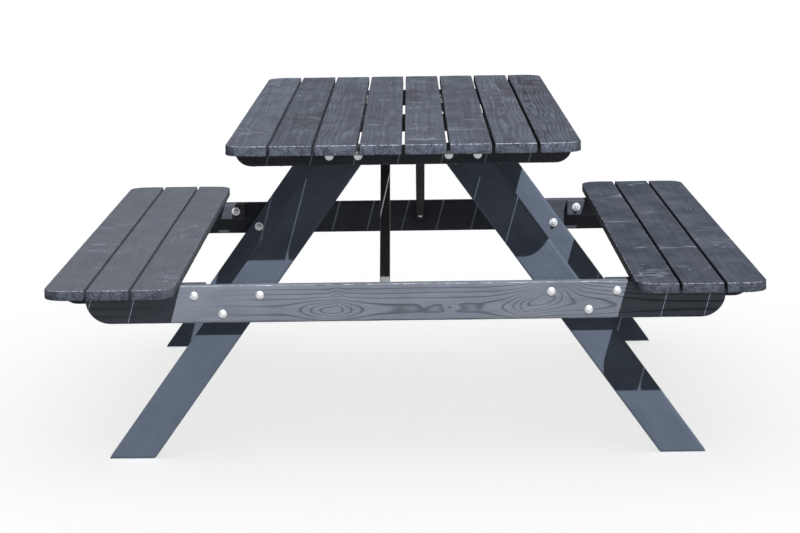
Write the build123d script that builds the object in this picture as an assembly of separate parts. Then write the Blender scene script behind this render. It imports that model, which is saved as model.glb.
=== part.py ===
from build123d import *
import math
import os

# Picnic table with two fixed benches, bolted together from planed pine.
# Millimetres. X runs across the table, Y along its boards, Z is up.
# The origin is on the ground, under the middle of the table.
# Front is the -Y end, rear the +Y end, left the -X side, right the +X side.

# Overall sizes
TABLE_LENGTH = 1800
TABLE_HEIGHT = 756
SEAT_HEIGHT = 437

# Boards of the tabletop and the benches
BOARD_WIDTH = 95
BOARD_THICKNESS = 23
BOARD_GAP = 5
BOARD_PITCH = BOARD_WIDTH + BOARD_GAP
TABLETOP_BOARDS = 8
BENCH_BOARDS = 3
BENCH_INNER_X = 518
CORNER_RADIUS = 50
BOARD_EASING = 2.5

# Frame timber: one thickness, with wide stretchers and legs and narrow battens
FRAME_WIDTH = 88
FRAME_THICKNESS = 28
BATTEN_HEIGHT = 44
FRAME_EASING = 3
FRAME_SPAN = 1436
STRETCHER_LENGTH = 1480
STRETCHER_CORNER = 58
TOP_BATTEN_LENGTH = 772
SEAT_BATTEN_INNER_X = 463
MIDDLE_SEAT_BATTEN_INNER_X = 550
SEAT_BATTEN_OUTER_X = 800
BATTEN_CORNER = 38
LEG_LEAN = 35.75
LEG_FOOT_X = 646
BRACE_THICKNESS = 24
BRACE_DEPTH = 45
BRACE_XS = {"front": -47.5, "rear": 41}
BRACE_FOOT_Z = 350

# M8 carriage bolts, wide washers and hexagon nuts
BOLT_DIAMETER = 8
BOLT_LENGTH = 70
BOLT_TIP_CHAMFER = 1
BOLT_HEAD_DIAMETER = 20.6
BOLT_HEAD_HEIGHT = 4.9
BOLT_NECK_SIDE = 8.4
BOLT_NECK_LENGTH = 4.5
BOLT_HOLE_DIAMETER = 9
NECK_CLEARANCE = 0.1
WASHER_DIAMETER = 24
WASHER_HOLE_DIAMETER = 8.4
WASHER_THICKNESS = 2
NUT_ACROSS_FLATS = 13
NUT_HEIGHT = 6.5
NUT_BORE_DIAMETER = 8.2
NUT_CHAMFER_HEIGHT = 0.6
NUT_CHAMFER_WIDTH = 0.9
TOP_BOLT_XS = (104, 170)
SEAT_INNER_BOLT_X = 488.5
SEAT_OUTER_BOLT_X = 712
LEG_UPPER_BOLT_XS = {"front": 336.5, "rear": 331}
LEG_LOWER_BOLT_X = 423
UPPER_BOLT_DROPS = {"front": 24, "rear": 20}
SEAT_OUTER_BOLT_DROP = 19
LOWER_BOLT_DROPS = {"front": 67, "rear": 64}

# Countersunk wood screws
BOARD_SCREW_DIAMETER = 5
BOARD_SCREW_LENGTH = 60
BOARD_SCREW_HEAD = 10
BRACE_SCREW_DIAMETER = 6
BRACE_FOOT_SCREW_LENGTH = 80
BRACE_HEAD_SCREW_LENGTH = 60
BRACE_SCREW_HEAD = 11
DRIVE_SHARE = 0.22
DRIVE_DEPTH_SHARE = 0.25
SCREW_CLEARANCE = 0.1
SCREW_SPREAD = 30
SCREW_STAGGER = 5
SCREW_OUTER_MARGIN = 6
SCREW_INNER_MARGIN = 18
BRACE_SCREW_RISE = 30
TOE_SCREW_SETBACK = 18
TOE_SCREW_ANGLE = 53
HEAD_RECESS = 30

# Levels and faces worked out from the sizes above
TOP_UNDERSIDE = TABLE_HEIGHT - BOARD_THICKNESS
SEAT_UNDERSIDE = SEAT_HEIGHT - BOARD_THICKNESS
TOP_BATTEN_BASE = TOP_UNDERSIDE - BATTEN_HEIGHT
SEAT_BATTEN_BASE = SEAT_UNDERSIDE - BATTEN_HEIGHT
OUTER_FACE_Y = FRAME_SPAN / 2
INNER_FACE_Y = OUTER_FACE_Y - FRAME_THICKNESS
MIDDLE_FACE_Y = FRAME_THICKNESS / 2
ENDS = {"front": -1, "rear": 1}
SIDES = {"left": -1, "right": 1}


def board(centre_x, top_z, rounded_side):
    """One lengthwise board; rounded_side is -1 or 1 for an outer board, else 0."""
    outline = Rectangle(BOARD_WIDTH, TABLE_LENGTH)
    if rounded_side:
        corners = outline.vertices().filter_by(lambda v: v.X * rounded_side > 0)
        outline = fillet(corners, CORNER_RADIUS)
    plank = extrude(outline, BOARD_THICKNESS)
    faces = plank.faces().sort_by(Axis.Z)
    plank = fillet(faces[0].edges() + faces[-1].edges(), BOARD_EASING)
    return Pos(centre_x, 0, top_z - BOARD_THICKNESS) * plank


def rail(inner_x, outer_x, base_z, height, centre_y, corner, rounded_sides):
    """A timber across the table, with its lower corners rounded on the given sides."""
    outline = Rectangle(abs(outer_x - inner_x), height)
    corners = outline.vertices().filter_by(
        lambda v: v.Y < 0 and math.copysign(1, v.X) in rounded_sides
    )
    outline = fillet(corners, corner)
    timber = extrude(Plane.XZ * outline, FRAME_THICKNESS / 2, both=True)
    faces = timber.faces().sort_by(Axis.Y)
    timber = fillet(faces[0].edges() + faces[-1].edges(), FRAME_EASING)
    return Pos((inner_x + outer_x) / 2, centre_y, base_z + height / 2) * timber


def leg(side, end):
    """A leaning leg on the inner face of the stretcher, cut level at both ends."""
    lean = math.radians(LEG_LEAN)
    half_cut = FRAME_WIDTH / math.cos(lean) / 2
    top_x = LEG_FOOT_X - TOP_UNDERSIDE * math.tan(lean)
    outline = make_face(
        Polyline(
            (LEG_FOOT_X - half_cut, 0),
            (LEG_FOOT_X + half_cut, 0),
            (top_x + half_cut, TOP_UNDERSIDE),
            (top_x - half_cut, TOP_UNDERSIDE),
            close=True,
        )
    )
    timber = extrude(Plane.XZ * outline, FRAME_THICKNESS / 2, both=True)
    long_edges = timber.edges().filter_by(lambda e: e.length > TOP_UNDERSIDE)
    timber = fillet(long_edges, FRAME_EASING)
    if side < 0:
        timber = mirror(timber, Plane.YZ)
    return Pos(0, end * (INNER_FACE_Y - FRAME_THICKNESS / 2), 0) * timber


def brace_slope():
    """Angle of a brace above level, and the height of its upright end cuts."""
    run = INNER_FACE_Y - MIDDLE_FACE_Y
    rise = TOP_UNDERSIDE - BRACE_FOOT_Z
    angle = math.atan2(rise, run) - math.asin(BRACE_DEPTH / math.hypot(rise, run))
    return angle, BRACE_DEPTH / math.cos(angle)


def brace(x, end):
    """A sloping brace from a stretcher's inner face up to the middle batten."""
    cut = brace_slope()[1]
    outline = make_face(
        Polyline(
            (INNER_FACE_Y, BRACE_FOOT_Z),
            (INNER_FACE_Y, BRACE_FOOT_Z + cut),
            (MIDDLE_FACE_Y, TOP_UNDERSIDE),
            (MIDDLE_FACE_Y, TOP_UNDERSIDE - cut),
            close=True,
        )
    )
    timber = extrude(Plane.YZ * outline, BRACE_THICKNESS / 2, both=True)
    long_edges = timber.edges().filter_by(lambda e: e.length > FRAME_SPAN / 4)
    timber = fillet(long_edges, FRAME_EASING)
    if end < 0:
        timber = mirror(timber, Plane.XZ)
    return Pos(x, 0, 0) * timber


def carriage_bolt():
    """M8 carriage bolt along +Z, with the seat of its domed head at z = 0."""
    head_radius = BOLT_HEAD_DIAMETER / 2
    dome = (head_radius**2 + BOLT_HEAD_HEIGHT**2) / (2 * BOLT_HEAD_HEIGHT)
    head = Pos(0, 0, dome - BOLT_HEAD_HEIGHT) * Sphere(dome)
    head &= Pos(0, 0, -BOLT_HEAD_HEIGHT) * Cylinder(
        head_radius, BOLT_HEAD_HEIGHT, align=(Align.CENTER, Align.CENTER, Align.MIN)
    )
    neck = extrude(Rectangle(BOLT_NECK_SIDE, BOLT_NECK_SIDE), BOLT_NECK_LENGTH)
    shank = Cylinder(
        BOLT_DIAMETER / 2, BOLT_LENGTH, align=(Align.CENTER, Align.CENTER, Align.MIN)
    )
    shank = chamfer(shank.edges().sort_by(Axis.Z)[-1], BOLT_TIP_CHAMFER)
    return head + neck + shank


def washer():
    """Wide flat washer with its lower face at z = 0."""
    ring = Circle(WASHER_DIAMETER / 2) - Circle(WASHER_HOLE_DIAMETER / 2)
    return extrude(ring, WASHER_THICKNESS)


def hex_nut():
    """Hexagon nut with chamfered corners and its lower face at z = 0."""
    flats = RegularPolygon(NUT_ACROSS_FLATS / 2, 6, major_radius=False)
    body = extrude(flats - Circle(NUT_BORE_DIAMETER / 2), NUT_HEIGHT)
    corner_radius = NUT_ACROSS_FLATS / math.sqrt(3)
    envelope = Cylinder(
        corner_radius, NUT_HEIGHT, align=(Align.CENTER, Align.CENTER, Align.MIN)
    )
    rims = envelope.edges().filter_by(GeomType.CIRCLE)
    return body & chamfer(rims, NUT_CHAMFER_HEIGHT, NUT_CHAMFER_WIDTH)


def screw_profile(length, diameter, head, clearance):
    """Half section of a countersunk screw along +Z, its head flush at z = 0."""
    shank = diameter / 2 + clearance
    rim = head / 2 + clearance
    depth = rim - shank
    return Plane.XZ * make_face(
        Polyline(
            (0, 0),
            (rim, 0),
            (shank, depth),
            (shank, length - diameter),
            (0, length + clearance),
            close=True,
        )
    )


def wood_screw(length, diameter, head):
    """Countersunk wood screw with a six-sided drive recess."""
    body = revolve(screw_profile(length, diameter, head, 0), Axis.Z)
    drive = extrude(RegularPolygon(head * DRIVE_SHARE, 6), head * DRIVE_DEPTH_SHARE)
    return body - drive


def screw_hole(length, diameter, head):
    """The room a wood screw takes in timber, with a recess behind its head."""
    hole = revolve(screw_profile(length, diameter, head, SCREW_CLEARANCE), Axis.Z)
    recess = Cylinder(
        head / 2 + SCREW_CLEARANCE,
        HEAD_RECESS,
        align=(Align.CENTER, Align.CENTER, Align.MAX),
    )
    return hole + recess


def bolt_places():
    """Planes of all carriage bolts, on the outer faces and pointing inwards."""
    places = []
    for name, end in ENDS.items():
        upper_z = SEAT_UNDERSIDE - UPPER_BOLT_DROPS[name]
        lower_z = SEAT_UNDERSIDE - LOWER_BOLT_DROPS[name]
        spots = [(x, TOP_BATTEN_BASE + BATTEN_HEIGHT / 2) for x in TOP_BOLT_XS]
        spots.append((SEAT_OUTER_BOLT_X, SEAT_UNDERSIDE - SEAT_OUTER_BOLT_DROP))
        spots += [(SEAT_INNER_BOLT_X, upper_z), (LEG_UPPER_BOLT_XS[name], upper_z)]
        spots.append((LEG_LOWER_BOLT_X, lower_z))
        for side in SIDES.values():
            for x, z in spots:
                face = (side * x, end * OUTER_FACE_Y, z)
                places.append(Plane(face, (1, 0, 0), (0, -end, 0)))
    return places


def board_screw_places(board_xs, batten_ys, base_z, low_x, high_x):
    """Planes of the screws that go up through battens, two into each board."""
    places = []
    for y in batten_ys:
        for x in board_xs:
            for shift in (-1, 1):
                spot = min(max(x + shift * SCREW_SPREAD, low_x), high_x)
                places.append(Plane((spot, y + shift * SCREW_STAGGER, base_z)))
    return places


def brace_screw_places():
    """Planes and lengths of a level screw at each brace's foot and a toe screw at its head."""
    angle, cut = brace_slope()
    foot_z = BRACE_FOOT_Z + BRACE_SCREW_RISE
    foot_y = INNER_FACE_Y - BRACE_SCREW_RISE / math.tan(angle)
    toe_y = MIDDLE_FACE_Y + TOE_SCREW_SETBACK
    toe_z = TOP_UNDERSIDE - cut - TOE_SCREW_SETBACK * math.tan(angle)
    toe = math.radians(TOE_SCREW_ANGLE)
    places = []
    for name, end in ENDS.items():
        x = BRACE_XS[name]
        foot = Plane((x, end * foot_y, foot_z), (1, 0, 0), (0, end, 0))
        direction = (0, -end * math.cos(toe), math.sin(toe))
        head = Plane((x, end * toe_y, toe_z), (1, 0, 0), direction)
        places += [(foot, BRACE_FOOT_SCREW_LENGTH), (head, BRACE_HEAD_SCREW_LENGTH)]
    return places


def tabletop_board_xs():
    first = -(TABLETOP_BOARDS - 1) / 2 * BOARD_PITCH
    return [first + i * BOARD_PITCH for i in range(TABLETOP_BOARDS)]


def bench_board_xs(side):
    first = BENCH_INNER_X + BOARD_WIDTH / 2
    return [side * (first + i * BOARD_PITCH) for i in range(BENCH_BOARDS)]


def drilled(timber, tools):
    """The timber less the tools whose boxes reach it."""
    box = timber.bounding_box()
    near = [tool for tool in tools if boxes_meet(box, tool.bounding_box())]
    return timber.cut(*near) if near else timber


def boxes_meet(a, b):
    return all(
        low_a < high_b and low_b < high_a
        for low_a, high_a, low_b, high_b in zip(
            tuple(a.min), tuple(a.max), tuple(b.min), tuple(b.max)
        )
    )


# Boards
timbers = {}
for i, x in enumerate(tabletop_board_xs()):
    rounded = {0: -1, TABLETOP_BOARDS - 1: 1}.get(i, 0)
    timbers[f"tabletop_board_{i + 1}"] = board(x, TABLE_HEIGHT, rounded)
for name, side in SIDES.items():
    for i, x in enumerate(bench_board_xs(side)):
        rounded = {0: -side, BENCH_BOARDS - 1: side}.get(i, 0)
        timbers[f"{name}_bench_board_{i + 1}"] = board(x, SEAT_HEIGHT, rounded)

# Battens under the tabletop
rail_y = OUTER_FACE_Y - FRAME_THICKNESS / 2
half_top = TOP_BATTEN_LENGTH / 2
for name, y in {"front": -rail_y, "middle": 0, "rear": rail_y}.items():
    timbers[f"{name}_top_batten"] = rail(
        -half_top, half_top, TOP_BATTEN_BASE, BATTEN_HEIGHT, y, BATTEN_CORNER, (-1, 1)
    )

# Battens under the benches
seat_batten_y = INNER_FACE_Y - FRAME_THICKNESS / 2
batten_rows = {
    "front": (-seat_batten_y, SEAT_BATTEN_INNER_X),
    "middle": (0, MIDDLE_SEAT_BATTEN_INNER_X),
    "rear": (seat_batten_y, SEAT_BATTEN_INNER_X),
}
for row, (y, inner_x) in batten_rows.items():
    for name, side in SIDES.items():
        timbers[f"{row}_{name}_seat_batten"] = rail(
            side * inner_x,
            side * SEAT_BATTEN_OUTER_X,
            SEAT_BATTEN_BASE,
            BATTEN_HEIGHT,
            y,
            BATTEN_CORNER,
            (side,),
        )

# Frames and braces
half_stretcher = STRETCHER_LENGTH / 2
for end_name, end in ENDS.items():
    timbers[f"{end_name}_stretcher"] = rail(
        -half_stretcher,
        half_stretcher,
        SEAT_UNDERSIDE - FRAME_WIDTH,
        FRAME_WIDTH,
        end * rail_y,
        STRETCHER_CORNER,
        (-1, 1),
    )
    timbers[f"{end_name}_brace"] = brace(BRACE_XS[end_name], end)
    for name, side in SIDES.items():
        timbers[f"{end_name}_{name}_leg"] = leg(side, end)

# Places of the fasteners
bolt_planes = bolt_places()
flat_top = half_top - BATTEN_CORNER - SCREW_OUTER_MARGIN
tabletop_planes = board_screw_places(
    tabletop_board_xs(), (-rail_y, 0, rail_y), TOP_BATTEN_BASE, -flat_top, flat_top
)
bench_planes = []
flat_seat = SEAT_BATTEN_OUTER_X - BATTEN_CORNER - SCREW_OUTER_MARGIN
for y, inner_x in batten_rows.values():
    for side in SIDES.values():
        reach = sorted((side * (inner_x + SCREW_INNER_MARGIN), side * flat_seat))
        bench_planes += board_screw_places(
            bench_board_xs(side), (y,), SEAT_BATTEN_BASE, *reach
        )
brace_screws = brace_screw_places()

# Holes
bolt_hole = Cylinder(
    BOLT_HOLE_DIAMETER / 2,
    BOLT_LENGTH,
    align=(Align.CENTER, Align.CENTER, Align.MIN),
)
neck_pocket = extrude(
    Rectangle(BOLT_NECK_SIDE + NECK_CLEARANCE, BOLT_NECK_SIDE + NECK_CLEARANCE),
    BOLT_NECK_LENGTH + NECK_CLEARANCE,
)
board_screw_size = (BOARD_SCREW_LENGTH, BOARD_SCREW_DIAMETER, BOARD_SCREW_HEAD)
brace_screw_size = (BRACE_SCREW_DIAMETER, BRACE_SCREW_HEAD)
tools = [plane * (bolt_hole + neck_pocket) for plane in bolt_planes]
tools += [p * screw_hole(*board_screw_size) for p in tabletop_planes + bench_planes]
tools += [plane * screw_hole(length, *brace_screw_size) for plane, length in brace_screws]
nodes = {name: drilled(timber, tools) for name, timber in timbers.items()}

# Fasteners
washer_face = FRAME_THICKNESS * 2
nut_face = washer_face + WASHER_THICKNESS
board_screw = wood_screw(*board_screw_size)
fasteners = {
    "carriage_bolts": [plane * carriage_bolt() for plane in bolt_planes],
    "washers": [plane * Pos(0, 0, washer_face) * washer() for plane in bolt_planes],
    "hex_nuts": [plane * Pos(0, 0, nut_face) * hex_nut() for plane in bolt_planes],
    "tabletop_screws": [plane * board_screw for plane in tabletop_planes],
    "bench_screws": [plane * board_screw for plane in bench_planes],
    "brace_screws": [
        plane * wood_screw(length, *brace_screw_size) for plane, length in brace_screws
    ],
}
for name, pieces in fasteners.items():
    nodes[name] = Compound([piece.solid() for piece in pieces])

os.makedirs("parts", exist_ok=True)
for name, shape in nodes.items():
    export_step(shape, f"parts/{name}.step")
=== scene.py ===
import math

import bpy
import numpy as np
from mathutils import Matrix, Vector


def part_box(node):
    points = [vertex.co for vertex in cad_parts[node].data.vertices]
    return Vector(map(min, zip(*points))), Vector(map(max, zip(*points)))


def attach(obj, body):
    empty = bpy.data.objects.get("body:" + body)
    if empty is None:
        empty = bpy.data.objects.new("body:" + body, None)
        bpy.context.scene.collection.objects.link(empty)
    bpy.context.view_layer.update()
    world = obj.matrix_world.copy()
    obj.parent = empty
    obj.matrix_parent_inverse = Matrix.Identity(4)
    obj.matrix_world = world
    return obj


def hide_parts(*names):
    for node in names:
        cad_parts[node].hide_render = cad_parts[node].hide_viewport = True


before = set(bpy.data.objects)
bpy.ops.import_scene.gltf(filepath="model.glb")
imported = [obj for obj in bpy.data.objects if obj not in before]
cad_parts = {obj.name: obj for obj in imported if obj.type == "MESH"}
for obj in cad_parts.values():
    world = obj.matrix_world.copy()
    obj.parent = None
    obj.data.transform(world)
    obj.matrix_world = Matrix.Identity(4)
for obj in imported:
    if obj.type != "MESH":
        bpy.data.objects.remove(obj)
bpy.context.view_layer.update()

# Lengths are in metres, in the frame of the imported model.
MM = 0.001

# Timber: radii of its eased arrises and its rounded corners, how much narrower a board is
# on each side than in the CAD, and how far wear reaches in from an arris
BOARD_EASE = 2.5 * MM
FRAME_EASE = 3 * MM
CUT_EASE = 1.2 * MM
BOARD_CORNER = 50 * MM
STRETCHER_CORNER = 58 * MM
BATTEN_CORNER = 38 * MM
BRACE_DEPTH = 45 * MM
BOARD_SHRINK = 0.6 * MM
EDGE_REACH = 7 * MM
SAW_ANGLE = math.radians(38)

# Mesh of a timber: its steps, and the line nearest to an edge as a share of the ease
GRID_LENGTH = 8 * MM
GRID_WIDTH = 4.6 * MM
GRID_DEPTH = 9 * MM
NEAR_LINE = 0.41

# Noise in the timbers' shape: cells per metre along, across and through the timber
WAVE_CELLS = (7.0, 28.0, 28.0)
CHIP_CELLS = (70.0, 110.0, 110.0)
DENT_CELLS = (16.0, 30.0, 30.0)
FIGURE_CELLS = (5.5, 24.0, 0.0)
SMALL_FIGURE_CELLS = (13.0, 40.0, 0.0)

# Fasteners: radii, heights and lengths
BOLT_HEAD = 10.3 * MM
BOLT_HEAD_HEIGHT = 4.9 * MM
BOLT_RIM = 0.7 * MM
BOLT_SHANK = 4 * MM
THREAD_PITCH = 1.25 * MM
THREAD_DEPTH = 0.65 * MM
THREAD_LENGTH = 12 * MM
TIP_LENGTH = 2 * MM
NUT_BORE = 4.1 * MM
NUT_BEVEL = 0.7 * MM
WASHER_BORE = 4.2 * MM
WASHER_EDGE = 0.35 * MM
SCREW_PROUD = 0.4 * MM
SCREW_POINT = 9 * MM
SCREW_SIZES = {
    "tabletop_screws": (5 * MM, 2.5 * MM),
    "bench_screws": (5 * MM, 2.5 * MM),
    "brace_screws": (5.5 * MM, 3 * MM),
}
BOLT_SEGMENTS = 40
SCREW_SEGMENTS = 36
RING_SEGMENTS = 48
FACET_ANGLE = math.radians(32)
WELD = 0.01 * MM

# Boards of the tabletop and of each bench, and the first seed of each kind of timber
TABLETOP_BOARDS = 8
BENCH_BOARDS = 3
TABLETOP_SEED = 10
BENCH_SEED = 30
RAIL_SEED = 50
LEG_SEED = 70
BRACE_SEED = 80

# Floor and light: SUN_TRAVEL is the direction that the sunlight travels in
FLOOR_HALF = 60
SUN_TRAVEL = (-0.275, 0.785, -1.0)
SUN_STRENGTH = 16.0
SUN_ANGLE = math.radians(0.5)
SKY_STRENGTH = 0.43
FLOOR_GLOW = 0.64

# Camera: its place, its turns in radians, and its lens and sensor in millimetres
CAMERA_PLACE = (0.0210, -6.2098, 1.3520)
CAMERA_YAW = -0.0059
CAMERA_PITCH = 0.1622
CAMERA_ROLL = -0.0140
CAMERA_LENS = 108.74
SENSOR_WIDTH = 36


# ---------------------------------------------------------------- meshes

def value_noise(points, seed):
    """Smooth noise between 0 and 1 at each row of points, one cell per unit."""
    cell = np.floor(points).astype(np.int64)
    t = points - cell
    t = t * t * (3 - 2 * t)
    total = np.zeros(len(points))
    for corner in np.ndindex(2, 2, 2):
        c = cell + corner
        # An integer hash of the cell's corner and the seed
        h = c[:, 0] * 374761393 + c[:, 1] * 668265263 + c[:, 2] * 2147483647
        h = (h + seed * 1274126177) & 0xFFFFFFFF
        h = ((h ^ (h >> 13)) * 1103515245) & 0xFFFFFFFF
        h = ((h ^ (h >> 16)) & 0xFFFF) / 0xFFFF
        weight = np.prod(np.where(corner, t, 1 - t), axis=1)
        total += weight * h
    return total


def spaced(length, fine, step):
    """Positions from 0 to length: three close together at each end, even between."""
    count = max(2, round((length - 2 * fine) / step))
    middle = np.linspace(fine, length - fine, count + 1)
    near = NEAR_LINE * fine
    return np.concatenate([[0, near], middle, [length - near, length]])


def box_shell(axes):
    """Points and outward quads of a box surface on a grid of three position lists."""
    shape = tuple(len(a) for a in axes)
    index = np.indices(shape)
    outer = np.zeros(shape, bool)
    for axis in range(3):
        outer |= (index[axis] == 0) | (index[axis] == shape[axis] - 1)
    ids = np.full(shape, -1)
    ids[outer] = np.arange(outer.sum())
    points = np.stack([axes[a][index[a][outer]] for a in range(3)], axis=1)
    quads = []
    for axis in range(3):
        for end in (0, -1):
            sheet = np.take(ids, end, axis)
            ring = [sheet[:-1, :-1], sheet[1:, :-1], sheet[1:, 1:], sheet[:-1, 1:]]
            quad = np.stack(ring, axis=-1).reshape(-1, 4)
            quads.append(quad[:, ::-1] if (end == 0) != (axis == 1) else quad)
    return points, np.concatenate(quads)


def eased(points, size, side_ease, end_ease, corners):
    """Rounds a box's edges and its plan corners; returns points about its centre."""
    half = size / 2
    sign = np.where(points < half, -1.0, 1.0)
    dist = half - np.abs(points - half)
    reach = np.array([end_ease, side_ease])
    plan, depth = dist[:, :2], dist[:, 2]
    turn = np.arctan2(np.maximum(reach - plan, 0), reach)
    pulled = np.where(plan < reach, reach - reach * np.sin(turn), plan)
    drop = (reach - reach * np.cos(turn)).max(axis=1)
    own = np.where(plan[:, 0] < 1e-9, end_ease, side_ease)
    side_turn = np.arctan2(np.maximum(own - depth, 0), own)
    on_cap = depth < 1e-9
    share = (1 - np.cos(side_turn)) / (1 - math.cos(math.pi / 4))
    share[on_cap] = 1
    new_plan = plan + (pulled - plan) * share[:, None]
    side_depth = np.where(depth < own, own - own * np.sin(side_turn), depth)
    new_depth = np.where(on_cap, drop, side_depth)
    out = sign * (half - np.column_stack([new_plan, new_depth]))
    for (s_sign, w_sign), radius in corners.items():
        a = (out[:, 0] * s_sign - (half[0] - radius)) / radius
        b = (out[:, 1] * w_sign - (half[1] - radius)) / radius
        inside = (a > 0) & (b > 0)
        a, b = a[inside], b[inside]
        squeeze = np.maximum(a, b) / np.hypot(a, b) * radius
        out[inside, 0] = s_sign * (half[0] - radius + a * squeeze)
        out[inside, 1] = w_sign * (half[1] - radius + b * squeeze)
    return out


def add_mesh(name, points, faces):
    """A new object with this mesh, smooth shaded."""
    mesh = bpy.data.meshes.new(name)
    mesh.from_pydata(points.tolist(), [], [list(f) for f in faces])
    mesh.update()
    mesh.shade_smooth()
    thing = bpy.data.objects.new(name, mesh)
    bpy.context.scene.collection.objects.link(thing)
    return thing


def add_attribute(mesh, name, kind, values):
    """Stores one number or vector for each point, for the materials to read."""
    layer = mesh.attributes.new(name, kind, "POINT")
    field = "vector" if kind == "FLOAT_VECTOR" else "value"
    layer.data.foreach_set(field, np.ascontiguousarray(values, np.float32).ravel())


def read_normals(mesh):
    """The mesh's vertex normals, one in each row."""
    normals = np.empty(len(mesh.vertices) * 3, np.float32)
    mesh.vertex_normals.foreach_get("vector", normals)
    return normals.reshape(-1, 3).astype(float)


class Timber:
    """The local frame of one timber: s along its length, w across, t through it.

    Its ends are square to s, or sheared by slope times w.
    """

    def __init__(self, name, centre, s_dir, w_dir, size, slope=0.0):
        self.name = name
        self.centre = np.array(centre)
        self.axes = np.array([s_dir, w_dir, np.cross(s_dir, w_dir)], float)
        self.size = np.array(size, float)
        self.slope = slope

    def to_frame(self, local):
        sheared = local.copy()
        sheared[:, 0] += local[:, 1] * self.slope
        return self.centre + sheared @ self.axes


def nearest_knot(local, knots):
    """Offset along and across to the nearest (s, w, radius) knot, and its radius."""
    best = np.tile([9.0, 9.0, 5 * MM], (len(local), 1))
    reach = np.full(len(local), np.inf)
    for s, w, radius in knots:
        offset = local[:, :2] - (s, w)
        far = np.hypot(offset[:, 0] * 0.5, offset[:, 1]) / radius
        closer = far < reach
        reach[closer] = far[closer]
        best[closer, :2] = offset[closer]
        best[closer, 2] = radius
    return best


def hills(local, shapes):
    """Sum of smooth hills: place, reach along and across, tilt and height of each."""
    total = np.zeros(len(local))
    for s, w, reach_s, reach_w, tilt, height in shapes:
        cosine, sine = math.cos(math.radians(tilt)), math.sin(math.radians(tilt))
        ds, dw = local[:, 0] - s, local[:, 1] - w
        far = ((ds * cosine + dw * sine) / reach_s) ** 2
        far += ((dw * cosine - ds * sine) / reach_w) ** 2
        total += height * np.exp(-far)
    return total


def build_timber(timber, ease, end_ease, corners, seed, look):
    """A planed timber with worn arrises, shallow waves and its grain coordinates."""
    rng = np.random.default_rng(seed)
    size = timber.size
    axes = [
        spaced(size[0], end_ease, GRID_LENGTH),
        spaced(size[1], ease, GRID_WIDTH),
        spaced(size[2], ease, GRID_DEPTH),
    ]
    box_points, quads = box_shell(axes)
    rounded = {key: ease for key in ((-1, -1), (-1, 1), (1, -1), (1, 1))}
    rounded.update(corners)
    local = eased(box_points, size, ease, end_ease, rounded)

    # Nearness to the rim of the wide faces, from the box before it was rounded
    dist = np.minimum(box_points, size - box_points)
    from_rim = np.maximum(dist[:, 2], dist[:, :2].min(axis=1))
    edge = np.clip(1 - from_rim / EDGE_REACH, 0, 1)
    edge *= np.where(dist[:, 0] < EDGE_REACH, 1, look["side_wear_and_highlight"])

    thing = add_mesh("v_" + timber.name, timber.to_frame(local), quads)
    normals = read_normals(thing.data)
    # 1 where the surface faces along the timber, 0 where it faces across
    end_face = np.clip((np.abs(normals @ timber.axes[0]) - 0.45) / 0.4, 0, 1)

    # Shallow waves, a cupped top and small dents along the arrises, all inwards
    wave = value_noise(local * WAVE_CELLS + 40, seed) * look["wave"]
    cup = rng.uniform(-1, 1) * look["cup"]
    across = (local[:, 1] / size[1] * 2) ** 2
    lowered = (cup * across if cup > 0 else -cup * (1 - across)) * (local[:, 2] > 0)
    chips = value_noise(local * CHIP_CELLS + 9, seed + 5)
    dents = value_noise(local * DENT_CELLS + 3, seed + 9)
    bite = np.clip(chips - 0.45, 0, 1) * 1.5 + np.clip(dents - 0.66, 0, 1) * 4
    depth = wave + lowered + bite * edge**2 * look["bite"]
    points = timber.to_frame(local) - normals * depth[:, None]
    thing.data.vertices.foreach_set("co", points.astype(np.float32).ravel())

    # Grain: the place from the pith, and how the figure and the knots bend the rings
    pith_across = look.get("pith_across", rng.uniform(-0.35, 0.35) * size[1])
    pith = np.array([0, pith_across, look["pith"]])
    knots = look.get("knots", ())
    figure = value_noise(local * FIGURE_CELLS + 60, seed + 2)
    figure += value_noise(local * SMALL_FIGURE_CELLS + 80, seed + 3) * 0.4
    figure = figure * look["figure"] + hills(local, look.get("hills", ()))
    for s, w, radius in knots:
        figure += hills(local, [(s, w, 5 * radius, 2.4 * radius, 0, 2.2 * radius)])
    add_attribute(thing.data, "grain", "FLOAT_VECTOR", local - pith)
    add_attribute(thing.data, "knot", "FLOAT_VECTOR", nearest_knot(local, knots))
    add_attribute(thing.data, "figure", "FLOAT", figure)
    add_attribute(thing.data, "edge", "FLOAT", edge)
    add_attribute(thing.data, "end_face", "FLOAT", end_face)

    # Marks on the upper face: brown stain, rubbed places, and places without rings
    on_top = local[:, 2] > 0
    for mark in ("brown", "rub", "calm"):
        spots = [(s, w, rs, rw, 0, 1) for s, w, rs, rw in look.get(mark, ())]
        add_attribute(thing.data, mark, "FLOAT", hills(local, spots) * on_top)
    thing["seed"] = float(rng.uniform(0, 50))
    thing["tone"] = float(look["tone"] * rng.uniform(0.96, 1.04))
    thing["show"] = float(look["show"])
    thing.data.update()
    return thing


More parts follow.
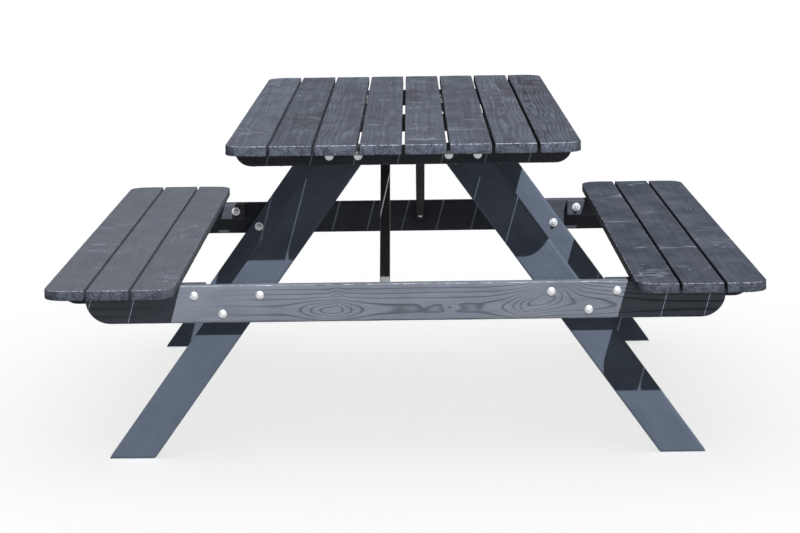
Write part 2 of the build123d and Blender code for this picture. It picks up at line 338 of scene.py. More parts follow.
def lathe(profile, segments, place, axis, shape=None, closed=False):
    """Points and faces of a profile of (radius, height) turned about an axis."""
    z_dir = np.array(axis) / np.linalg.norm(axis)
    x_dir = np.cross(z_dir, (1, 0, 0) if abs(z_dir[0]) < 0.9 else (0, 1, 0))
    x_dir /= np.linalg.norm(x_dir)
    y_dir = np.cross(z_dir, x_dir)
    angle = np.arange(segments) * 2 * math.pi / segments
    points = []
    for radius, height in profile:
        r = np.full(segments, radius)
        if shape is not None:
            r = shape(r, angle)
        ring = np.outer(np.cos(angle) * r, x_dir) + np.outer(np.sin(angle) * r, y_dir)
        points.append(ring + height * z_dir)
    points = np.concatenate(points) + place
    faces = []
    rows = len(profile)
    for i in range(rows if closed else rows - 1):
        a, b = i * segments, (i + 1) % rows * segments
        for j in range(segments):
            k = (j + 1) % segments
            faces.append((a + j, a + k, b + k, b + j))
    if not closed:
        last = (rows - 1) * segments
        faces.append(tuple(reversed(range(segments))))
        faces.append(tuple(last + j for j in range(segments)))
    return points, faces


def joined(name, parts):
    """One object from several (points, faces) pairs."""
    points, faces, base = [], [], 0
    for part_points, part_faces in parts:
        points.append(part_points)
        faces += [tuple(base + i for i in face) for face in part_faces]
        base += len(part_points)
    return add_mesh(name, np.concatenate(points), faces)


def solids(node):
    """The separate solids of a CAD node, each as an array of its points."""
    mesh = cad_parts[node].data
    points = np.empty(len(mesh.vertices) * 3, np.float32)
    mesh.vertices.foreach_get("co", points)
    points = points.reshape(-1, 3).astype(float)
    edges = np.empty(len(mesh.edges) * 2, np.int32)
    mesh.edges.foreach_get("vertices", edges)
    edges = edges.reshape(-1, 2)
    keys = np.round(points / WELD).astype(np.int64)
    weld = np.unique(keys, axis=0, return_inverse=True)[1].reshape(-1)
    label = weld.copy()

    # Each point takes the lowest label on its edges, and then at its place, until none
    # changes
    while True:
        low = np.minimum(label[edges[:, 0]], label[edges[:, 1]])
        newer = label.copy()
        np.minimum.at(newer, edges[:, 0], low)
        np.minimum.at(newer, edges[:, 1], low)
        welded = np.full(weld.max() + 1, len(points))
        np.minimum.at(welded, weld, newer)
        newer = welded[weld]
        if np.array_equal(newer, label):
            break
        label = newer
    return [points[label == one] for one in np.unique(label)]


def long_axis(points):
    """Centre line of a bolt or screw: its head end, and the direction away from it."""
    centre = points.mean(axis=0)
    direction = np.linalg.svd(points - centre, full_matrices=False)[2][0]
    along = (points - centre) @ direction
    spread = np.linalg.norm(points - centre - np.outer(along, direction), axis=1)
    if spread[along > 0].max() > spread[along < 0].max():
        direction, along = -direction, -along
    middle = (points.max(axis=0) + points.min(axis=0)) / 2
    middle_along = (middle - centre) @ direction
    return middle + direction * (along.min() - middle_along), direction


# ---------------------------------------------------------------- materials

# Noise in the stain: cells per metre along, across and through the timber, shift of the
# seed, detail and roughness
STAIN_NOISE = {
    "waver": ((9.0, 60.0, 60.0), 0.0, 2.0, 0.5),
    "pace": ((1.5, 25.0, 25.0), 0.0, 1.0, 0.5),
    "fade": ((5.0, 22.0, 22.0), 7.0, 1.0, 0.5),
    "fibre": ((14.0, 620.0, 620.0), 0.0, 3.0, 0.65),
    "pores": ((70.0, 1900.0, 1900.0), 0.0, 1.0, 0.5),
    "cloud": ((8.0, 15.0, 15.0), 3.0, 4.0, 0.6),
    "brush": ((1.6, 120.0, 120.0), 17.0, 3.0, 0.6),
    "blotch": ((9.0, 17.0, 17.0), 13.0, 3.0, 0.6),
    "ragged": ((90.0, 90.0, 90.0), 0.0, 2.0, 0.5),
    "soak": ((60.0, 60.0, 60.0), 21.0, 3.0, 0.6),
    "saw": ((60.0, 150.0, 800.0), 5.0, 2.0, 0.5),
    "drift": ((14.0, 14.0, 14.0), 31.0, 1.0, 0.5),
    "across": ((38.0, 13.0, 13.0), 41.0, 3.0, 0.5),
    "mottle": ((26.0, 60.0, 60.0), 47.0, 3.0, 0.62),
    "where": ((6.0, 9.0, 9.0), 43.0, 2.0, 0.5),
    "speck": ((170.0, 300.0, 300.0), 0.0, 1.0, 0.5),
    "rough_edge": ((60.0, 170.0, 170.0), 51.0, 3.0, 0.5),
}

# How far the scuffs across a board bow along it
SCUFF_BOW = 50 * MM

# Noise in the zinc, in cells per metre
ZINC_CLOUD_CELLS = (260.0, 260.0, 260.0)
ZINC_GRAIN_CELLS = (1600.0, 1600.0, 1600.0)


class Graph:
    """Adds shader nodes to a new material and links them."""

    def __init__(self, name):
        self.material = bpy.data.materials.new(name)
        self.material.use_nodes = True
        self.tree = self.material.node_tree
        self.tree.nodes.clear()

    def add(self, kind, inputs=None, **settings):
        node = self.tree.nodes.new("ShaderNode" + kind)
        for key, value in settings.items():
            setattr(node, key, value)
        for key, value in (inputs or {}).items():
            if isinstance(value, bpy.types.NodeSocket):
                self.tree.links.new(value, node.inputs[key])
            else:
                node.inputs[key].default_value = value
        return node

    def math(self, operation, *values):
        inputs = dict(enumerate(values))
        return self.add("Math", inputs, operation=operation).outputs[0]

    def scaled(self, vector, scale):
        inputs = {0: vector, 1: scale}
        return self.add("VectorMath", inputs, operation="MULTIPLY").outputs[0]

    def attribute(self, name, output, kind="GEOMETRY"):
        node = self.add("Attribute", attribute_name=name, attribute_type=kind)
        return node.outputs[output]

    def noise(self, vector, seed, detail=2.0, roughness=0.5):
        inputs = {"Vector": vector, "W": seed, "Scale": 1.0}
        inputs.update({"Detail": detail, "Roughness": roughness})
        return self.add("TexNoise", inputs, noise_dimensions="4D").outputs[0]

    def step(self, value, low, high, start=0.0, end=1.0):
        """Smooth change from start to end as value goes from low to high."""
        inputs = {0: value, 1: low, 2: high, 3: start, 4: end}
        node = self.add("MapRange", inputs, interpolation_type="SMOOTHSTEP")
        return node.outputs[0]

    def mix(self, factor, first, second, blend="MIX"):
        inputs = {0: factor, 6: first, 7: second}
        node = self.add("Mix", inputs, data_type="RGBA", blend_type=blend)
        return node.outputs[2]


def colour(red, green, blue):
    return (red, green, blue, 1.0)


def grey(graph, value):
    return graph.add("CombineColor", {0: value, 1: value, 2: value}).outputs[0]


def stained_wood(name, look):
    """Opaque blue-grey stain on softwood: rings, fibres, knots, scuffs, worn edges, and in some
    looks painted shade, highlight and sky tint.
    """
    g = Graph(name)
    grain = g.attribute("grain", "Vector")
    seed = g.attribute("seed", "Fac", "OBJECT")
    tone = g.attribute("tone", "Fac", "OBJECT")
    show = g.attribute("show", "Fac", "OBJECT")
    edge = g.attribute("edge", "Fac")
    end_face = g.attribute("end_face", "Fac")
    figure = g.attribute("figure", "Fac")
    brown_spot = g.attribute("brown", "Fac")
    rub_spot = g.attribute("rub", "Fac")
    lively = g.math("SUBTRACT", 1.0, g.attribute("calm", "Fac"))
    knot = g.add("SeparateXYZ", {0: g.attribute("knot", "Vector")}).outputs

    def seeded(kind, place=grain):
        cells, shift, detail, rough = STAIN_NOISE[kind]
        return g.noise(g.scaled(place, cells), g.math("ADD", seed, shift), detail, rough)

    # Rings: distance from the pith, bent by knots and slow waves
    round_pith = g.scaled(grain, (0.0, 1.0, 1.0))
    reach = g.add("VectorMath", {0: round_pith}, operation="LENGTH").outputs[1]
    waver = seeded("waver")
    bent = g.math("MULTIPLY_ADD", waver, look["waver"], g.math("ADD", reach, figure))
    rings = g.math("MULTIPLY_ADD", bent, 1 / look["ring"], look["shift"])
    pace = seeded("pace")
    rings = g.math("MULTIPLY_ADD", pace, look["pace"], rings)
    phase = g.math("FRACT", rings)
    rising = g.step(phase, 1 - look["line"], 0.97)
    falling = g.step(phase, 0.0, 0.07, 1.0, 0.0)
    ring_line = g.math("MAXIMUM", rising, falling)
    fade = seeded("fade")
    strength = g.math("MULTIPLY", g.step(fade, 0.3, 0.55, look["faint"], 1.0), show)
    strength = g.math("MULTIPLY", strength, lively)
    ring_line = g.math("MULTIPLY", ring_line, strength)

    # Stain: cloudy patches, brush streaks along the timber, fibres and open pores
    fibre = seeded("fibre")
    pores = seeded("pores")
    cloud = seeded("cloud")
    brush = seeded("brush")
    blotch = seeded("blotch")
    base = g.mix(g.step(cloud, 0.34, 0.66), look["dark"], look["light"])
    brown = g.math("MULTIPLY_ADD", brown_spot, 0.22, blotch)
    base = g.mix(g.step(brown, 0.56, 0.78, 0.0, look["blotch"]), base, look["brown"])
    streak = g.step(fibre, 0.3, 0.72, 1 - look["fibre"], 1 + look["fibre"])
    base = g.mix(1.0, base, grey(g, streak), "MULTIPLY")
    stroke = g.step(brush, 0.3, 0.7, 1 - look["brush"], 1 + look["brush"])
    base = g.mix(1.0, base, grey(g, stroke), "MULTIPLY")
    line_tone = g.math("MULTIPLY_ADD", ring_line, look["line_tone"] - 1, 1.0)
    base = g.mix(1.0, base, grey(g, line_tone), "MULTIPLY")
    base = g.mix(1.0, base, grey(g, tone), "MULTIPLY")

    # Knots: a dark core with a ragged rim, drawn out along the timber
    knot_flat = g.math("MULTIPLY", knot[0], 0.6)
    knot_square = g.math("MULTIPLY", knot_flat, knot_flat)
    knot_square = g.math("MULTIPLY_ADD", knot[1], knot[1], knot_square)
    knot_near = g.math("DIVIDE", g.math("SQRT", knot_square), knot[2])
    ragged = seeded("ragged")
    knot_near = g.math("MULTIPLY_ADD", ragged, 0.5, knot_near)
    core = g.step(knot_near, 0.75, 1.15, look["knot"], 0.0)
    base = g.mix(core, base, look["knot_colour"])

    # End faces: stain soaked in unevenly, with short slanted saw marks
    soak = seeded("soak")
    turned = g.add("VectorRotate", {"Vector": grain, "Angle": SAW_ANGLE},
                   rotation_type="X_AXIS").outputs[0]
    saw = seeded("saw", turned)
    end_tone = g.mix(g.step(soak, 0.36, 0.66), look["end_dark"], look["end_light"])
    end_tone = g.mix(g.step(saw, 0.5, 0.72, 0.0, 0.55), end_tone, look["end_pale"])
    end_tone = g.mix(g.step(saw, 0.3, 0.46, 0.5, 0.0), end_tone, look["end_dark"])
    arcs = g.math("MULTIPLY_ADD", ring_line, -0.25, 1.0)
    end_tone = g.mix(1.0, end_tone, grey(g, arcs), "MULTIPLY")
    base = g.mix(end_face, base, end_tone)

    # Scuffs across the timber in rubbed places, small specks, and worn arrises; on the front
    # stretcher the worn arris also paints a sunlit highlight
    drift = seeded("drift")
    bow = g.add("CombineXYZ", {0: g.math("MULTIPLY", drift, SCUFF_BOW)}).outputs[0]
    lifted = g.add("VectorMath", {0: grain, 1: bow}, operation="ADD").outputs[0]
    across = seeded("across", lifted)
    mottle = seeded("mottle")
    where = seeded("where")
    rubbed = g.step(g.math("MULTIPLY_ADD", rub_spot, 0.4, where), 0.56, 0.72)
    scuff = g.math("MAXIMUM", g.step(across, 0.56, 0.63), g.step(mottle, 0.57, 0.66))
    scuff = g.math("MULTIPLY", scuff, rubbed)
    scuff = g.math("MULTIPLY", scuff, g.step(pores, 0.35, 0.6, 0.6, 1.0))
    scuff = g.math("MULTIPLY", scuff, look["scuff"])
    not_end = g.math("SUBTRACT", 1.0, end_face)
    base = g.mix(g.math("MULTIPLY", scuff, not_end), base, look["scuff_colour"])
    speck = seeded("speck")
    speck = g.math("MULTIPLY", g.step(speck, 0.74, 0.8), look["speck"])
    rough_edge = seeded("rough_edge")
    # Pale worn arrises, which on the front stretcher also paint a sunlit highlight
    worn_and_highlit = g.math("MULTIPLY_ADD", rough_edge, 1.1, edge)
    worn_and_highlit = g.step(worn_and_highlit, 1.36, 1.56, 0.0, look["arris_wear_and_highlight"])
    pale = g.math("MAXIMUM", speck, worn_and_highlit)
    base = g.mix(pale, base, look["pale"])

    # Sheen, its tint that paints blue sky light where a look asks for it, and relief
    roughness = g.step(cloud, 0.25, 0.75, look["rough"] + 0.08, look["rough"] - 0.08)
    roughness = g.math("MULTIPLY_ADD", pale, 0.15, roughness)
    height = g.math("MULTIPLY", ring_line, -0.16)
    height = g.math("MULTIPLY_ADD", fibre, 0.22, height)
    height = g.math("MULTIPLY_ADD", pores, 0.1, height)
    height = g.math("MULTIPLY_ADD", waver, 0.5, height)
    height = g.math("MULTIPLY_ADD", core, -0.3, height)
    height = g.math("MULTIPLY_ADD", g.math("MULTIPLY", soak, end_face), 0.4, height)
    height = g.math("MULTIPLY_ADD", g.math("MULTIPLY", saw, end_face), 0.5, height)
    bump = g.add("Bump", {"Height": height, "Strength": 1.0, "Distance": MM})
    shader = g.add("BsdfPrincipled", {
        "Base Color": base,
        "Roughness": roughness,
        "Normal": bump.outputs[0],
        "Specular IOR Level": look["gloss"],
        "Specular Tint": look["painted_sky_tint"],
    })
    g.add("OutputMaterial", {0: shader.outputs[0]})
    return g.material


def zinc_plate(name, base_tone, rough):
    """Bright zinc plating with a faint spangle and dull patches."""
    g = Graph(name)
    place = g.add("NewGeometry").outputs["Position"]
    cloud = g.noise(g.scaled(place, ZINC_CLOUD_CELLS), 2.0, 3.0, 0.6)
    grain = g.noise(g.scaled(place, ZINC_GRAIN_CELLS), 5.0, 2.0)
    dull = [c * 0.72 for c in base_tone[:3]] + [1.0]
    base = g.mix(g.step(cloud, 0.35, 0.65), tuple(dull), base_tone)
    roughness = g.step(cloud, 0.3, 0.7, rough + 0.12, rough - 0.06)
    height = g.math("MULTIPLY_ADD", grain, 0.4, g.math("MULTIPLY", cloud, 1.2))
    bump = g.add("Bump", {"Height": height, "Strength": 0.35, "Distance": 0.1 * MM})
    shader = g.add("BsdfPrincipled", {
        "Base Color": base,
        "Roughness": roughness,
        "Normal": bump.outputs[0],
        "Metallic": 0.9,
    })
    g.add("OutputMaterial", {0: shader.outputs[0]})
    return g.material


# ---------------------------------------------------------------- looks

# A stain's ring is the spacing of its growth rings, waver and pace bend them, line is the
# share of a ring that its line takes, and line_tone and faint say how much it shows.
# Fibre and brush are the depths of the streaks. The rest are colours and amounts.
PLAIN = {
    "ring": 7 * MM, "waver": 4 * MM, "pace": 3.0, "shift": 0.0, "line": 0.35,
    "line_tone": 0.8, "faint": 0.3, "fibre": 0.1, "brush": 0.05,
    "dark": colour(0.027, 0.031, 0.042), "light": colour(0.033, 0.039, 0.053),
    "brown": colour(0.030, 0.026, 0.031), "blotch": 0.2,
    "end_dark": colour(0.0145, 0.0168, 0.0240), "end_light": colour(0.0340, 0.0390, 0.0530),
    "end_pale": colour(0.085, 0.092, 0.112),
    "pale": colour(0.15, 0.158, 0.178), "scuff_colour": colour(0.066, 0.074, 0.090),
    "knot_colour": colour(0.012, 0.013, 0.018), "knot": 0.6,
    "scuff": 0.0, "speck": 0.1, "arris_wear_and_highlight": 0.4, "rough": 0.58, "gloss": 0.2,
    "painted_sky_tint": colour(1, 1, 1),
}
TABLETOP = dict(PLAIN, ring=9 * MM, line=0.5, line_tone=1.35, faint=0.1, brush=0.13,
                scuff=0.85, speck=0.7, arris_wear_and_highlight=1.0, blotch=0.8, rough=0.8, gloss=0.06,
                dark=colour(0.0210, 0.0225, 0.0295), light=colour(0.0266, 0.0318, 0.0405),
                brown=colour(0.0165, 0.0150, 0.0190))
BENCH_ENDS = {
    "end_dark": colour(0.0120, 0.0138, 0.0195), "end_light": colour(0.0290, 0.0320, 0.0435),
    "end_pale": colour(0.06, 0.066, 0.08),
}
LEFT_BENCH = dict(PLAIN, line_tone=0.95, scuff=0.7, speck=0.4, arris_wear_and_highlight=0.7, gloss=0.06, rough=0.8,
                  blotch=0.1, brush=0.04, **BENCH_ENDS,
                  dark=colour(0.0303, 0.0335, 0.0410), light=colour(0.0348, 0.0380, 0.0455))
RIGHT_BENCH = dict(PLAIN, line_tone=0.9, scuff=0.8, speck=0.4, arris_wear_and_highlight=0.8, gloss=0.06, rough=0.8,
                   brush=0.12, **BENCH_ENDS,
                   dark=colour(0.0130, 0.0158, 0.0215), light=colour(0.0220, 0.0253, 0.0332))
# Painted highlight: the front stretcher's arrises are fully worn, so the pale line along its top
# arris is partly wear and partly a painted sunlit highlight
STRETCHER = dict(PLAIN, ring=10 * MM, waver=3.5 * MM, pace=0.0, shift=-0.53, line=0.3,
                 line_tone=0.42, faint=0.65, fibre=0.08, arris_wear_and_highlight=1.0, blotch=0.0, gloss=0.03,
                 dark=colour(0.049, 0.0555, 0.067), light=colour(0.060, 0.067, 0.080))
# Painted sky light: the legs' stain is bluer than the other timbers' and their reflection is
# tinted blue, so that their shaded parts look lit by a blue sky
LEG = dict(PLAIN, line_tone=0.9, fibre=0.06, arris_wear_and_highlight=0.3, gloss=0.72,
           painted_sky_tint=colour(0.66, 0.80, 1.0), rough=0.75,
           dark=colour(0.0112, 0.0143, 0.0212), light=colour(0.0155, 0.0190, 0.0275))
FRONT_BRACE = dict(PLAIN, line_tone=0.95, arris_wear_and_highlight=0.3, gloss=0.4,
                   dark=colour(0.058, 0.060, 0.063), light=colour(0.068, 0.070, 0.073))
# Painted shade: the rear brace, whose underside is seen in shade, is stained near black though
# it is the same timber as the front brace
SHADED_REAR_BRACE = dict(PLAIN, line_tone=0.95, arris_wear_and_highlight=0.1, gloss=0.02,
                  dark=colour(0.008, 0.009, 0.011), light=colour(0.011, 0.012, 0.014))
# Painted shade: the battens and the rear stretcher, which stand in shade, take a far darker
# stain than the front stretcher of the same timber
SHADED_FRAME = dict(PLAIN, line_tone=0.85, arris_wear_and_highlight=0.15, gloss=0.08, speck=0.0,
              dark=colour(0.018, 0.020, 0.026), light=colour(0.024, 0.026, 0.033))

# A timber's wave, cup and bite are depths, pith is how far the pith lies from its middle
# through the timber, figure bends the rings, tone lightens the stain, and the side wear is
# how worn its long arrises are beside its ends; on the front stretcher it also paints a
# sunlit highlight along them. Show strengthens the rings, or swaps their light and dark
# where it is below 0.
SHAPE = {
    "wave": 0.3 * MM, "cup": 0.5 * MM, "bite": 0.8 * MM, "pith": 34 * MM,
    "figure": 7 * MM, "tone": 1.0, "show": 1.0, "side_wear_and_highlight": 0.75,
}
TABLETOP_SHAPE = dict(SHAPE, show=0.7)

# Hills in the ring field of the front stretcher: place along and across, reach along and
# across, tilt in degrees, and height
FRONT_FIGURE = (
    (-0.172, -0.018, 0.060, 0.021, 0, -0.034),
    (-0.157, 0.010, 0.011, 0.020, 0, -0.014),
    (-0.012, -0.018, 0.022, 0.006, 0, 0.0022),
    (0.045, -0.012, 0.020, 0.009, 20, 0.0034),
    (0.130, -0.016, 0.018, 0.006, 0, 0.0028),
    (0.172, -0.013, 0.012, 0.008, 0, 0.0030),
    (0.320, 0.008, 0.075, 0.026, 22, -0.038),
    (0.277, -0.036, 0.014, 0.018, 0, -0.016),
    (0.380, 0.004, 0.120, 0.034, 0, -0.020),
    (0.355, 0.020, 0.030, 0.010, 15, -0.004),
)


# ---------------------------------------------------------------- the timbers

def box_of(node):
    """Centre and extent of a CAD node's box."""
    low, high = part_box(node)
    return (np.array(low) + np.array(high)) / 2, np.array(high) - np.array(low)


def board_piece(node, side, look, seed):
    """A lengthwise board; side is -1 or 1 where its outer corners are rounded."""
    centre, extent = box_of(node)
    size = (extent[1], extent[0] - 2 * BOARD_SHRINK, extent[2])
    timber = Timber(node, centre, (0, -1, 0), (1, 0, 0), size)
    corners = {(end, side): BOARD_CORNER for end in (-1, 1)} if side else {}
    return build_timber(timber, BOARD_EASE, BOARD_EASE, corners, seed, look)


def rail_piece(node, radius, sides, look, seed):
    """A timber across the table, its lower corners rounded on the given sides."""
    centre, extent = box_of(node)
    size = (extent[0], extent[2], extent[1])
    timber = Timber(node, centre, (1, 0, 0), (0, 0, 1), size)
    corners = {(side, -1): radius for side in sides}
    return build_timber(timber, FRAME_EASE, FRAME_EASE, corners, seed, look)


def sloping(rise, run, width):
    """Lean of a timber of this width that fills rise by run, cut square to the rise."""
    return math.atan2(run, rise) - math.asin(width / math.hypot(rise, run))


def leg_piece(node, side, look, seed):
    """A leg that leans in towards the top, as wide as a stretcher, cut level."""
    centre, extent = box_of(node)
    width = box_of("front_stretcher")[1][2]
    lean = sloping(extent[2], extent[0], width)
    sine, cosine = math.sin(lean), math.cos(lean)
    size = (extent[2] / cosine, width, extent[1])
    slope = side * math.tan(lean)
    s_dir, w_dir = (-side * sine, 0, cosine), (-cosine, 0, -side * sine)
    timber = Timber(node, centre, s_dir, w_dir, size, slope)
    return build_timber(timber, FRAME_EASE, CUT_EASE, {}, seed, look)


def brace_piece(node, end, look, seed):
    """A brace from an end frame up to the middle, its ends cut upright."""
    centre, extent = box_of(node)
    angle = sloping(extent[1], extent[2], BRACE_DEPTH)
    sine, cosine = math.sin(angle), math.cos(angle)
    size = (extent[1] / cosine, BRACE_DEPTH, extent[0])
    s_dir, w_dir = (0, -end * cosine, sine), (0, -sine, -end * cosine)
    timber = Timber(node, centre, s_dir, w_dir, size, -end * math.tan(angle))
    return build_timber(timber, FRAME_EASE, CUT_EASE, {}, seed, look)


lit = bpy.data.collections.new("lit_by_key")
bpy.context.scene.collection.children.link(lit)


def seated(thing, material, slot, *nodes):
    """Gives a piece its material and its place in the model."""
    thing.data.materials.append(material)
    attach(thing, "root")
    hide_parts(*nodes)
    lit.objects.link(thing)


tabletop_wood = stained_wood("tabletop_stain", TABLETOP)
left_wood = stained_wood("left_bench_stain", LEFT_BENCH)
right_wood = stained_wood("right_bench_stain", RIGHT_BENCH)
stretcher_wood = stained_wood("stretcher_stain", STRETCHER)
leg_wood = stained_wood("leg_stain", LEG)
# The rear brace's near-black stain is painted shade
brace_woods = {-1: stained_wood("front_brace_stain", FRONT_BRACE),
               1: stained_wood("rear_brace_shade_stain", SHADED_REAR_BRACE)}
# The darker stain of the battens and the rear stretcher is painted shade
shaded_frame_wood = stained_wood("shaded_frame_stain", SHADED_FRAME)

# How single boards differ. Brown patches and rubbed places are given by their place along
# and across the board, and their reach along and across.
BOARD_SHAPES = {
    "tabletop_board_1": {
        "tone": 1.22, "rub": [(0.62, 0, 0.14, 0.05), (-0.55, 0.01, 0.1, 0.03)]},
    "tabletop_board_2": {
        "tone": 0.96, "brown": [(0.29, 0, 0.17, 0.045)],
        "rub": [(0.55, 0, 0.06, 0.05), (-0.03, 0.03, 0.12, 0.02)]},
    "tabletop_board_3": {"show": 1.2, "pith": 60 * MM},
    "tabletop_board_4": {"rub": [(-0.13, -0.03, 0.05, 0.03), (0.48, -0.03, 0.03, 0.03)]},
    "tabletop_board_5": {
        "brown": [(-0.28, -0.022, 0.22, 0.024)],
        "rub": [(0.01, -0.02, 0.05, 0.04), (0.76, 0, 0.06, 0.05)]},
    "tabletop_board_6": {
        "rub": [(-0.37, -0.02, 0.02, 0.04), (0.37, 0, 0.02, 0.05), (0.59, -0.02, 0.02, 0.04)]},
    "tabletop_board_7": {
        "show": 1.5, "figure": 12 * MM, "brown": [(-0.55, 0.025, 0.25, 0.025)],
        "rub": [(-0.1, 0.03, 0.06, 0.02)]},
    "tabletop_board_8": {
        "tone": 1.1, "show": -1.6, "figure": 16 * MM, "pith": 20 * MM,
        "brown": [(-0.45, 0, 0.45, 0.04)], "rub": [(0.63, 0.02, 0.02, 0.03)]},
    "left_bench_board_1": {
        "side_wear_and_highlight": 0.85,
        "rub": [(0.17, 0.02, 0.02, 0.05), (0.0, 0.01, 0.12, 0.03), (0.77, 0.03, 0.04, 0.03)]},
    "left_bench_board_3": {"rub": [(0.32, -0.01, 0.03, 0.04), (0.21, 0, 0.03, 0.04)]},
    "right_bench_board_1": {
        "side_wear_and_highlight": 0.95,
        "rub": [(-0.07, 0, 0.03, 0.05), (-0.56, 0.01, 0.06, 0.04),
                (0.38, 0.02, 0.03, 0.03), (0.75, 0, 0.12, 0.04)]},
    "right_bench_board_2": {
        "rub": [(-0.07, -0.01, 0.02, 0.04), (-0.8, 0.02, 0.04, 0.03),
                (0.39, 0.01, 0.03, 0.05), (0.7, 0, 0.06, 0.05)]},
    "right_bench_board_3": {
        "tone": 1.15, "figure": 12 * MM, "pith": 22 * MM,
        "rub": [(0.27, 0, 0.02, 0.06), (0.42, 0.02, 0.08, 0.03), (-0.28, 0.01, 0.04, 0.03)]},
}

for i in range(TABLETOP_BOARDS):
    node = f"tabletop_board_{i + 1}"
    side = {0: -1, TABLETOP_BOARDS - 1: 1}.get(i, 0)
    look = {**TABLETOP_SHAPE, **BOARD_SHAPES.get(node, {})}
    seated(board_piece(node, side, look, TABLETOP_SEED + i), tabletop_wood,
           "stained_tabletop_boards", node)

for name, side, wood in (("left", -1, left_wood), ("right", 1, right_wood)):
    for i in range(BENCH_BOARDS):
        node = f"{name}_bench_board_{i + 1}"
        corner = {0: -side, BENCH_BOARDS - 1: side}.get(i, 0)
        look = {**SHAPE, **BOARD_SHAPES.get(node, {})}
        seated(board_piece(node, corner, look, BENCH_SEED + i + 5 * side), wood,
               "stained_bench_boards", node)

# Full side wear on the front stretcher also paints a sunlit highlight along its top arris
front_look = {
    **SHAPE, "hills": FRONT_FIGURE, "knots": [(0.102, -0.014, 3.5 * MM)],
    "pith_across": -16 * MM, "figure": 1 * MM, "side_wear_and_highlight": 1.0,
    "calm": [(-0.52, 0, 0.19, 0.3)],
}
rails = [
    ("front_stretcher", STRETCHER_CORNER, (-1, 1), stretcher_wood, front_look),
    # The rear stretcher takes the darker stain as painted shade, not the front stretcher's
    ("rear_stretcher", STRETCHER_CORNER, (-1, 1), shaded_frame_wood, SHAPE),
]
for row in ("front", "middle", "rear"):
    rails.append((f"{row}_top_batten", BATTEN_CORNER, (-1, 1), shaded_frame_wood, SHAPE))
    for name, side in (("left", -1), ("right", 1)):
        node = f"{row}_{name}_seat_batten"
        rails.append((node, BATTEN_CORNER, (side,), shaded_frame_wood, SHAPE))
for i, (node, radius, sides, wood, look) in enumerate(rails):
    seated(rail_piece(node, radius, sides, look, RAIL_SEED + i), wood,
           "stained_frame_timber", node)

for end_name, end in (("front", -1), ("rear", 1)):
    for name, side in (("left", -1), ("right", 1)):
        node = f"{end_name}_{name}_leg"
        seated(leg_piece(node, side, SHAPE, LEG_SEED + 2 * end + side), leg_wood,
               "stained_frame_timber", node)
    node = f"{end_name}_brace"
    seated(brace_piece(node, end, SHAPE, BRACE_SEED + end), brace_woods[end],
           "stained_frame_timber", node)


# ---------------------------------------------------------------- the fasteners

def star(r, angle):
    """Six-lobed outline of a screw's drive recess."""
    return r * (1 + 0.14 * np.cos(6 * angle))


def hexagon(r, angle):
    """Hexagon whose flats are r from the axis."""
    return r / np.cos((angle + math.pi / 6) % (math.pi / 3) - math.pi / 6)


def bolt_mesh(place, axis, length):
    """Carriage bolt: a thin-rimmed dome, then the shank to its threaded tip."""
    dome = BOLT_HEAD_HEIGHT - BOLT_RIM
    ball = (BOLT_HEAD**2 + dome**2) / (2 * dome)
    turns = np.linspace(0.06, math.asin((BOLT_HEAD - 0.4 * MM) / ball), 9)
    profile = [(ball * math.sin(a), ball * (1 - math.cos(a))) for a in turns]
    profile += [(BOLT_HEAD, dome + 0.15 * MM), (BOLT_HEAD, BOLT_HEAD_HEIGHT - 0.1 * MM)]
    profile += [(BOLT_HEAD - 0.3 * MM, BOLT_HEAD_HEIGHT), (BOLT_SHANK, BOLT_HEAD_HEIGHT)]
    thread = length - THREAD_LENGTH
    while thread < length - TIP_LENGTH:
        profile += [(BOLT_SHANK, thread), (BOLT_SHANK - THREAD_DEPTH, thread + THREAD_PITCH / 2)]
        thread += THREAD_PITCH
    profile += [(BOLT_SHANK, thread), (BOLT_SHANK - 0.9 * MM, length)]
    return lathe(profile, BOLT_SEGMENTS, place, axis)


def screw_mesh(place, axis, length, head, shank):
    """Countersunk wood screw, its head a little proud, with a star recess."""
    top = -SCREW_PROUD
    recess = head * 0.27
    dish = [(recess * 0.9, top + 1.9 * MM), (recess, top + 0.15 * MM)]
    body = [(recess + 0.35 * MM, top + 0.03 * MM), (head - 0.3 * MM, top)]
    body += [(head, top + 0.25 * MM), (shank, top + head - shank)]
    body += [(shank, length - SCREW_POINT), (0.3 * MM, length)]
    dish_points, dish_faces = lathe(dish, SCREW_SEGMENTS, place, axis, star)
    body_points, body_faces = lathe(body, SCREW_SEGMENTS, place, axis)

    # The dish and the body meet at the rim of the recess, so neither has a cap there
    base = len(dish_points)
    faces = dish_faces[:-1]
    faces += [tuple(base + i for i in face) for face in body_faces[:-2] + body_faces[-1:]]
    for j in range(SCREW_SEGMENTS):
        k = (j + 1) % SCREW_SEGMENTS
        faces.append((base - SCREW_SEGMENTS + j, base - SCREW_SEGMENTS + k, base + k, base + j))
    return np.concatenate([dish_points, body_points]), faces


def nut_mesh(place, axis, flats, height):
    """Chamfered hexagon nut; place is its near face."""
    rim = flats / math.sqrt(3)
    chamfer = 0.5 * MM
    outline = [(NUT_BORE, chamfer), (NUT_BORE + chamfer, 0), (flats / 2 - 0.3 * MM, 0)]
    outline += [(rim, NUT_BEVEL), (rim, height - NUT_BEVEL), (flats / 2 - 0.3 * MM, height)]
    outline += [(NUT_BORE + chamfer, height), (NUT_BORE, height - chamfer)]

    def shape(r, angle):
        return np.minimum(r, hexagon(np.full_like(r, flats / 2), angle))

    return lathe(outline, RING_SEGMENTS, place, axis, shape, closed=True)


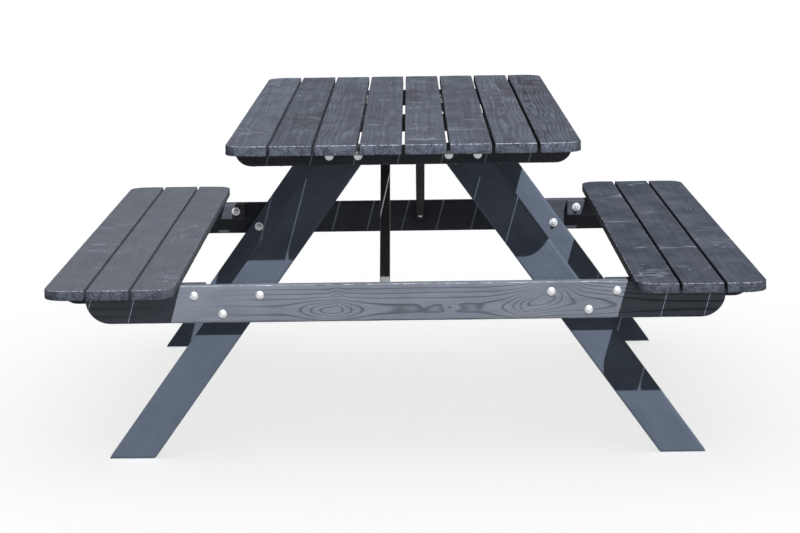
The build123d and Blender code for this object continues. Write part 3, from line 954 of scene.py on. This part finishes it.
def washer_mesh(place, axis, radius, height):
    """Flat washer with softened edges; place is its near face."""
    mouth = WASHER_BORE + 0.2 * MM
    outline = [(WASHER_BORE, WASHER_EDGE), (mouth, 0), (radius - WASHER_EDGE, 0)]
    outline += [(radius, WASHER_EDGE), (radius, height - WASHER_EDGE)]
    outline += [(radius - WASHER_EDGE, height), (mouth, height)]
    outline += [(WASHER_BORE, height - WASHER_EDGE)]
    return lathe(outline, RING_SEGMENTS, place, axis, closed=True)


bright_zinc = zinc_plate("bright_zinc", colour(0.60, 0.61, 0.63), 0.36)
dull_zinc = zinc_plate("dull_zinc", colour(0.58, 0.59, 0.61), 0.4)

parts = []
for points in solids("carriage_bolts"):
    place, axis = long_axis(points)
    parts.append(bolt_mesh(place, axis, np.ptp(points @ axis)))
pieces = {"carriage_bolts": (parts, bright_zinc)}
for node, build in (("washers", washer_mesh), ("hex_nuts", nut_mesh)):
    parts = []
    for points in solids(node):
        low, high = points.min(axis=0), points.max(axis=0)
        middle = (low + high) / 2
        axis = np.array([0, -np.sign(middle[1]), 0])
        depth = high[1] - low[1]
        across = high[2] - low[2] if node == "hex_nuts" else (high[2] - low[2]) / 2
        parts.append(build(middle - axis * depth / 2, axis, across, depth))
    pieces[node] = (parts, dull_zinc)
for node, (head, shank) in SCREW_SIZES.items():
    parts = []
    for points in solids(node):
        place, axis = long_axis(points)
        length = np.ptp(points @ axis)
        parts.append(screw_mesh(place, axis, length, head, shank))
    pieces[node] = (parts, dull_zinc)
for node, (parts, metal) in pieces.items():
    thing = joined("v_" + node, parts)
    thing.data.set_sharp_from_angle(angle=FACET_ANGLE)
    seated(thing, metal, "zinc_steel", node)


# ---------------------------------------------------------------- floor, light, camera

floor_corners = FLOOR_HALF * np.array([(-1, -1, 0), (1, -1, 0), (1, 1, 0), (-1, 1, 0)], float)
floor = add_mesh("floor", floor_corners, [(0, 1, 2, 3)])
floor_graph = Graph("pale_floor")
floor_shader = floor_graph.add("BsdfPrincipled", {
    "Base Color": colour(0.86, 0.86, 0.86),
    "Roughness": 0.9,
    "Specular IOR Level": 0.0,
    "Emission Color": colour(1, 1, 1),
    "Emission Strength": FLOOR_GLOW,
})
floor_graph.add("OutputMaterial", {0: floor_shader.outputs[0]})
floor.data.materials.append(floor_graph.material)

world = bpy.data.worlds.new("studio")
bpy.context.scene.world = world
world.use_nodes = True
sky = world.node_tree.nodes["Background"].inputs
sky["Color"].default_value = colour(1, 1, 1)
sky["Strength"].default_value = SKY_STRENGTH

key = bpy.data.objects.new("key", bpy.data.lights.new("key", "SUN"))
key.data.energy = SUN_STRENGTH
key.data.angle = SUN_ANGLE
key.rotation_euler = Vector(SUN_TRAVEL).to_track_quat("-Z", "Y").to_euler()
bpy.context.scene.collection.objects.link(key)
key.light_linking.receiver_collection = lit

camera = bpy.data.objects.new("camera", bpy.data.cameras.new("camera"))
bpy.context.scene.collection.objects.link(camera)
camera.data.lens = CAMERA_LENS
camera.data.sensor_width = SENSOR_WIDTH
forward = Vector((math.sin(CAMERA_YAW) * math.cos(CAMERA_PITCH),
                  math.cos(CAMERA_YAW) * math.cos(CAMERA_PITCH), -math.sin(CAMERA_PITCH)))
level = Vector((math.cos(CAMERA_YAW), -math.sin(CAMERA_YAW), 0))
above = level.cross(forward)
right = level * math.cos(CAMERA_ROLL) + above * math.sin(CAMERA_ROLL)
up = above * math.cos(CAMERA_ROLL) - level * math.sin(CAMERA_ROLL)
camera.matrix_world = Matrix((
    (right.x, up.x, -forward.x, CAMERA_PLACE[0]),
    (right.y, up.y, -forward.y, CAMERA_PLACE[1]),
    (right.z, up.z, -forward.z, CAMERA_PLACE[2]),
    (0, 0, 0, 1),
))
bpy.context.scene.camera = camera
bpy.context.scene.view_settings.view_transform = "Standard"
